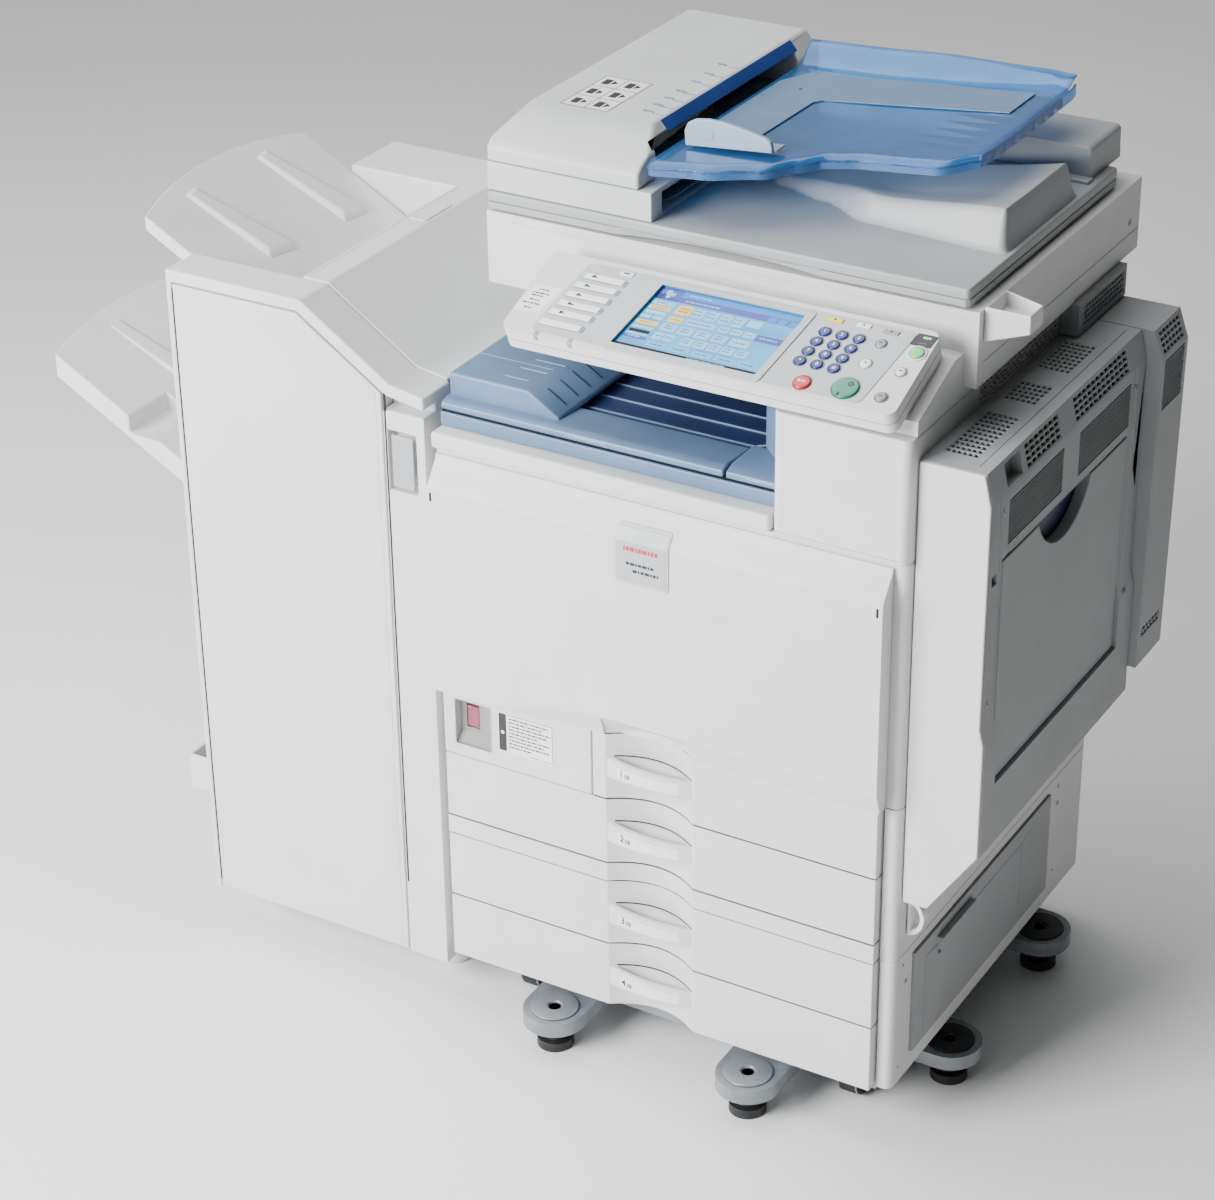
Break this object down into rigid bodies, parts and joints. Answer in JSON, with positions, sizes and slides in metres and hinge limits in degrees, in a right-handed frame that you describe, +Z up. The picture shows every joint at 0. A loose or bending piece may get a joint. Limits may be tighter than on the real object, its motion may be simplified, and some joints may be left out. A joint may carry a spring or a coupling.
{
  "type": "photocopier",
  "caption": "Floor-standing office photocopier with drawers, front door, tilting panel, lifting document feeder, duplex side unit and a booklet finisher.",
  "frame": {"origin": "centre of the bounding box on the floor", "axes": "+X to the machine's right, +Y to its back, +Z up"},
  "size_m": [1.2744, 0.6036, 1.1094],
  "materials": {
    "cover_white": "fine moulded texture",
    "cover_grey": "fine moulded texture",
    "black_plastic": "moulded",
    "cast_foot": "satin paint",
    "screw_black": "black zinc",
    "roller_rubber": "ground",
    "glass_clear": "polished",
    "inner_blue": "moulded",
    "fence_blue": "satin",
    "tray_clear_blue": "polished, clear",
    "screen": "glossy",
    "key_navy": "satin",
    "key_teal": "satin",
    "key_red": "satin",
    "key_green": "satin",
    "switch_pink": "gloss",
    "toner_black": "moulded",
    "toner_cyan": "moulded",
    "toner_magenta": "moulded",
    "toner_yellow": "moulded"
  },
  "bodies": {
    "main_unit": {"bank_cabinet": "cover_white", "base_frame": "cast_foot", "tray_housing": "cover_white", "switch_panel": "cover_white", "engine_housing": "cover_white", "rear_cover": "cover_white", "fusing_unit": "black_plastic", "drum_drawer": "black_plastic", "toner_bottle_black": "toner_black", "toner_bottle_cyan": "toner_cyan", "toner_bottle_magenta": "toner_magenta", "toner_bottle_yellow": "toner_yellow", "output_ledge": "cover_white", "tower_cover": "cover_white", "rear_neck": "cover_white", "inner_tray": "inner_blue", "exit_tray": "inner_blue", "scanner_housing": "cover_white", "exposure_glass": "glass_clear", "side_bin": "cover_white", "exhaust_duct": "cover_white", "finisher_body": "cover_white", "upper_tray": "cover_white"},
    "tray_1": {"tray_front_1": "cover_white", "tray_box_1": "cover_grey"},
    "tray_2": {"tray_front_2": "cover_white", "tray_box_2": "cover_grey"},
    "tray_3": {"tray_front_3": "cover_white", "tray_box_3": "cover_grey"},
    "tray_4": {"tray_front_4": "cover_white", "tray_box_4": "cover_grey"},
    "front_door": {"front_door": "cover_white"},
    "bank_side_door": {"bank_side_door": "cover_white"},
    "power_switch": {"power_switch": "switch_pink"},
    "transfer_roller": {"transfer_roller": "roller_rubber"},
    "scan_carriage": {"scan_carriage": "black_plastic"},
    "duplex_unit": {"duplex_unit": "cover_white"},
    "bypass_tray": {"bypass_tray": "cover_white"},
    "duplex_lever": {"duplex_lever": "cover_white"},
    "operation_panel": {"panel_housing": "cover_white", "touch_screen": "screen"},
    "number_keys": {"number_keys": "key_navy"},
    "start_key": {"start_key": "key_teal"},
    "stop_key": {"stop_key": "key_red"},
    "power_key": {"power_key": "key_green"},
    "platen_cover": {"platen_cover": "cover_white", "feeder_body": "cover_white"},
    "feeder_cover": {"feeder_cover": "cover_white"},
    "pickup_roller": {"pickup_roller": "roller_rubber"},
    "original_tray": {"original_tray": "tray_clear_blue"},
    "fence_front": {"fence_front": "fence_blue"},
    "finisher_door": {"finisher_door": "cover_white"},
    "finisher_hood": {"finisher_hood": "cover_white"},
    "shift_tray": {"shift_tray": "cover_white"},
    "booklet_tray": {"booklet_tray": "cover_white"},
    "foot_screw_1": {"foot_screw_1": "screw_black"},
    "foot_screw_2": {"foot_screw_2": "screw_black"},
    "foot_screw_3": {"foot_screw_3": "screw_black"},
    "foot_screw_4": {"foot_screw_4": "screw_black"}
  },
  "joints": [
    {"name": "tray_1_slide", "type": "slide", "parent": "main_unit", "child": "tray_1", "axis": [0, -1, 0], "range_m": [0, 0.36]},
    {"name": "tray_2_slide", "type": "slide", "parent": "main_unit", "child": "tray_2", "axis": [0, -1, 0], "range_m": [0, 0.36]},
    {"name": "tray_3_slide", "type": "slide", "parent": "main_unit", "child": "tray_3", "axis": [0, -1, 0], "range_m": [0, 0.36]},
    {"name": "tray_4_slide", "type": "slide", "parent": "main_unit", "child": "tray_4", "axis": [0, -1, 0], "range_m": [0, 0.36]},
    {"name": "front_door_hinge", "type": "hinge", "parent": "main_unit", "child": "front_door", "pos_m": [0.2408, -0.2712, 0.4475], "axis": [1, 0, 0], "range_deg": [0, 90]},
    {"name": "bank_side_door_hinge", "type": "hinge", "parent": "main_unit", "child": "bank_side_door", "pos_m": [0.5398, 0.1798, 0.1685], "axis": [0, 0, 1], "range_deg": [0, 75]},
    {"name": "power_switch_rock", "type": "hinge", "parent": "main_unit", "child": "power_switch", "pos_m": [-0.0032, -0.2447, 0.41], "axis": [1, 0, 0], "range_deg": [-8, 8]},
    {"name": "transfer_roller_spin", "type": "hinge", "parent": "main_unit", "child": "transfer_roller", "pos_m": [0.5048, -0.0242, 0.5369], "axis": [0, 1, 0], "continuous": true},
    {"name": "scan_carriage_slide", "type": "slide", "parent": "main_unit", "child": "scan_carriage", "axis": [1, 0, 0], "range_m": [0, 0.48]},
    {"name": "duplex_unit_hinge", "type": "hinge", "parent": "main_unit", "child": "duplex_unit", "pos_m": [0.5372, -0.0282, 0.272], "axis": [0, 1, 0], "range_deg": [0, 35]},
    {"name": "bypass_tray_hinge", "type": "hinge", "parent": "duplex_unit", "child": "bypass_tray", "pos_m": [0.6198, -0.0342, 0.486], "axis": [0, 1, 0], "range_deg": [0, 65]},
    {"name": "duplex_lever_hinge", "type": "hinge", "parent": "duplex_unit", "child": "duplex_lever", "pos_m": [0.5382, -0.2142, 0.3225], "axis": [0, -1, 0], "range_deg": [0, 25]},
    {"name": "panel_tilt", "type": "hinge", "parent": "main_unit", "child": "operation_panel", "pos_m": [0.2948, -0.14949, 0.943], "axis": [-1, 0, 0], "range_deg": [0, 15]},
    {"name": "number_keys_press", "type": "slide", "parent": "operation_panel", "child": "number_keys", "axis": [0, 0.3778, -0.9259], "range_m": [0, 0.0012], "stiffness_N_per_m": 600, "springref_m": -0.0006},
    {"name": "start_key_press", "type": "slide", "parent": "operation_panel", "child": "start_key", "axis": [0, 0.3778, -0.9259], "range_m": [0, 0.0012], "stiffness_N_per_m": 600, "springref_m": -0.0006},
    {"name": "stop_key_press", "type": "slide", "parent": "operation_panel", "child": "stop_key", "axis": [0, 0.3778, -0.9259], "range_m": [0, 0.0012], "stiffness_N_per_m": 600, "springref_m": -0.0006},
    {"name": "power_key_press", "type": "slide", "parent": "operation_panel", "child": "power_key", "axis": [0, 0.3778, -0.9259], "range_m": [0, 0.0012], "stiffness_N_per_m": 600, "springref_m": -0.0006},
    {"name": "platen_cover_hinge", "type": "hinge", "parent": "main_unit", "child": "platen_cover", "pos_m": [0.2468, 0.2808, 0.992], "axis": [-1, 0, 0], "range_deg": [0, 60]},
    {"name": "feeder_cover_hinge", "type": "hinge", "parent": "platen_cover", "child": "feeder_cover", "pos_m": [-0.0342, 0.0778, 1.0419], "axis": [0, -1, 0], "range_deg": [0, 60]},
    {"name": "pickup_roller_spin", "type": "hinge", "parent": "platen_cover", "child": "pickup_roller", "pos_m": [0.1208, 0.0468, 1.0619], "axis": [0, 1, 0], "continuous": true},
    {"name": "original_tray_hinge", "type": "hinge", "parent": "platen_cover", "child": "original_tray", "pos_m": [0.1588, 0.0718, 1.0699], "axis": [0, -1, 0], "range_deg": [0, 20]},
    {"name": "fence_front_slide", "type": "slide", "parent": "original_tray", "child": "fence_front", "axis": [0, 1, 0], "range_m": [-0.03, 0.07]},
    {"name": "finisher_door_hinge", "type": "hinge", "parent": "main_unit", "child": "finisher_door", "pos_m": [-0.3902, -0.2476, 0.45], "axis": [0, 0, -1], "range_deg": [0, 110]},
    {"name": "finisher_hood_hinge", "type": "hinge", "parent": "main_unit", "child": "finisher_hood", "pos_m": [-0.2472, -0.0262, 0.885], "axis": [0, -1, 0], "range_deg": [0, 50]},
    {"name": "shift_tray_lower", "type": "slide", "parent": "main_unit", "child": "shift_tray", "axis": [0, 0, -1], "range_m": [0, 0.24]},
    {"name": "booklet_tray_slide", "type": "slide", "parent": "main_unit", "child": "booklet_tray", "axis": [-1, 0, 0], "range_m": [0, 0.1]},
    {"name": "foot_screw_1_turn", "type": "hinge", "parent": "main_unit", "child": "foot_screw_1", "pos_m": [0.1078, -0.2638, 0.02], "axis": [0, 0, 1], "continuous": true},
    {"name": "foot_screw_2_turn", "type": "hinge", "parent": "main_unit", "child": "foot_screw_2", "pos_m": [0.3663, -0.2638, 0.02], "axis": [0, 0, 1], "continuous": true},
    {"name": "foot_screw_3_turn", "type": "hinge", "parent": "main_unit", "child": "foot_screw_3", "pos_m": [0.5406, -0.0922, 0.02], "axis": [0, 0, 1], "continuous": true},
    {"name": "foot_screw_4_turn", "type": "hinge", "parent": "main_unit", "child": "foot_screw_4", "pos_m": [0.5406, 0.1678, 0.02], "axis": [0, 0, 1], "continuous": true}
  ]
}
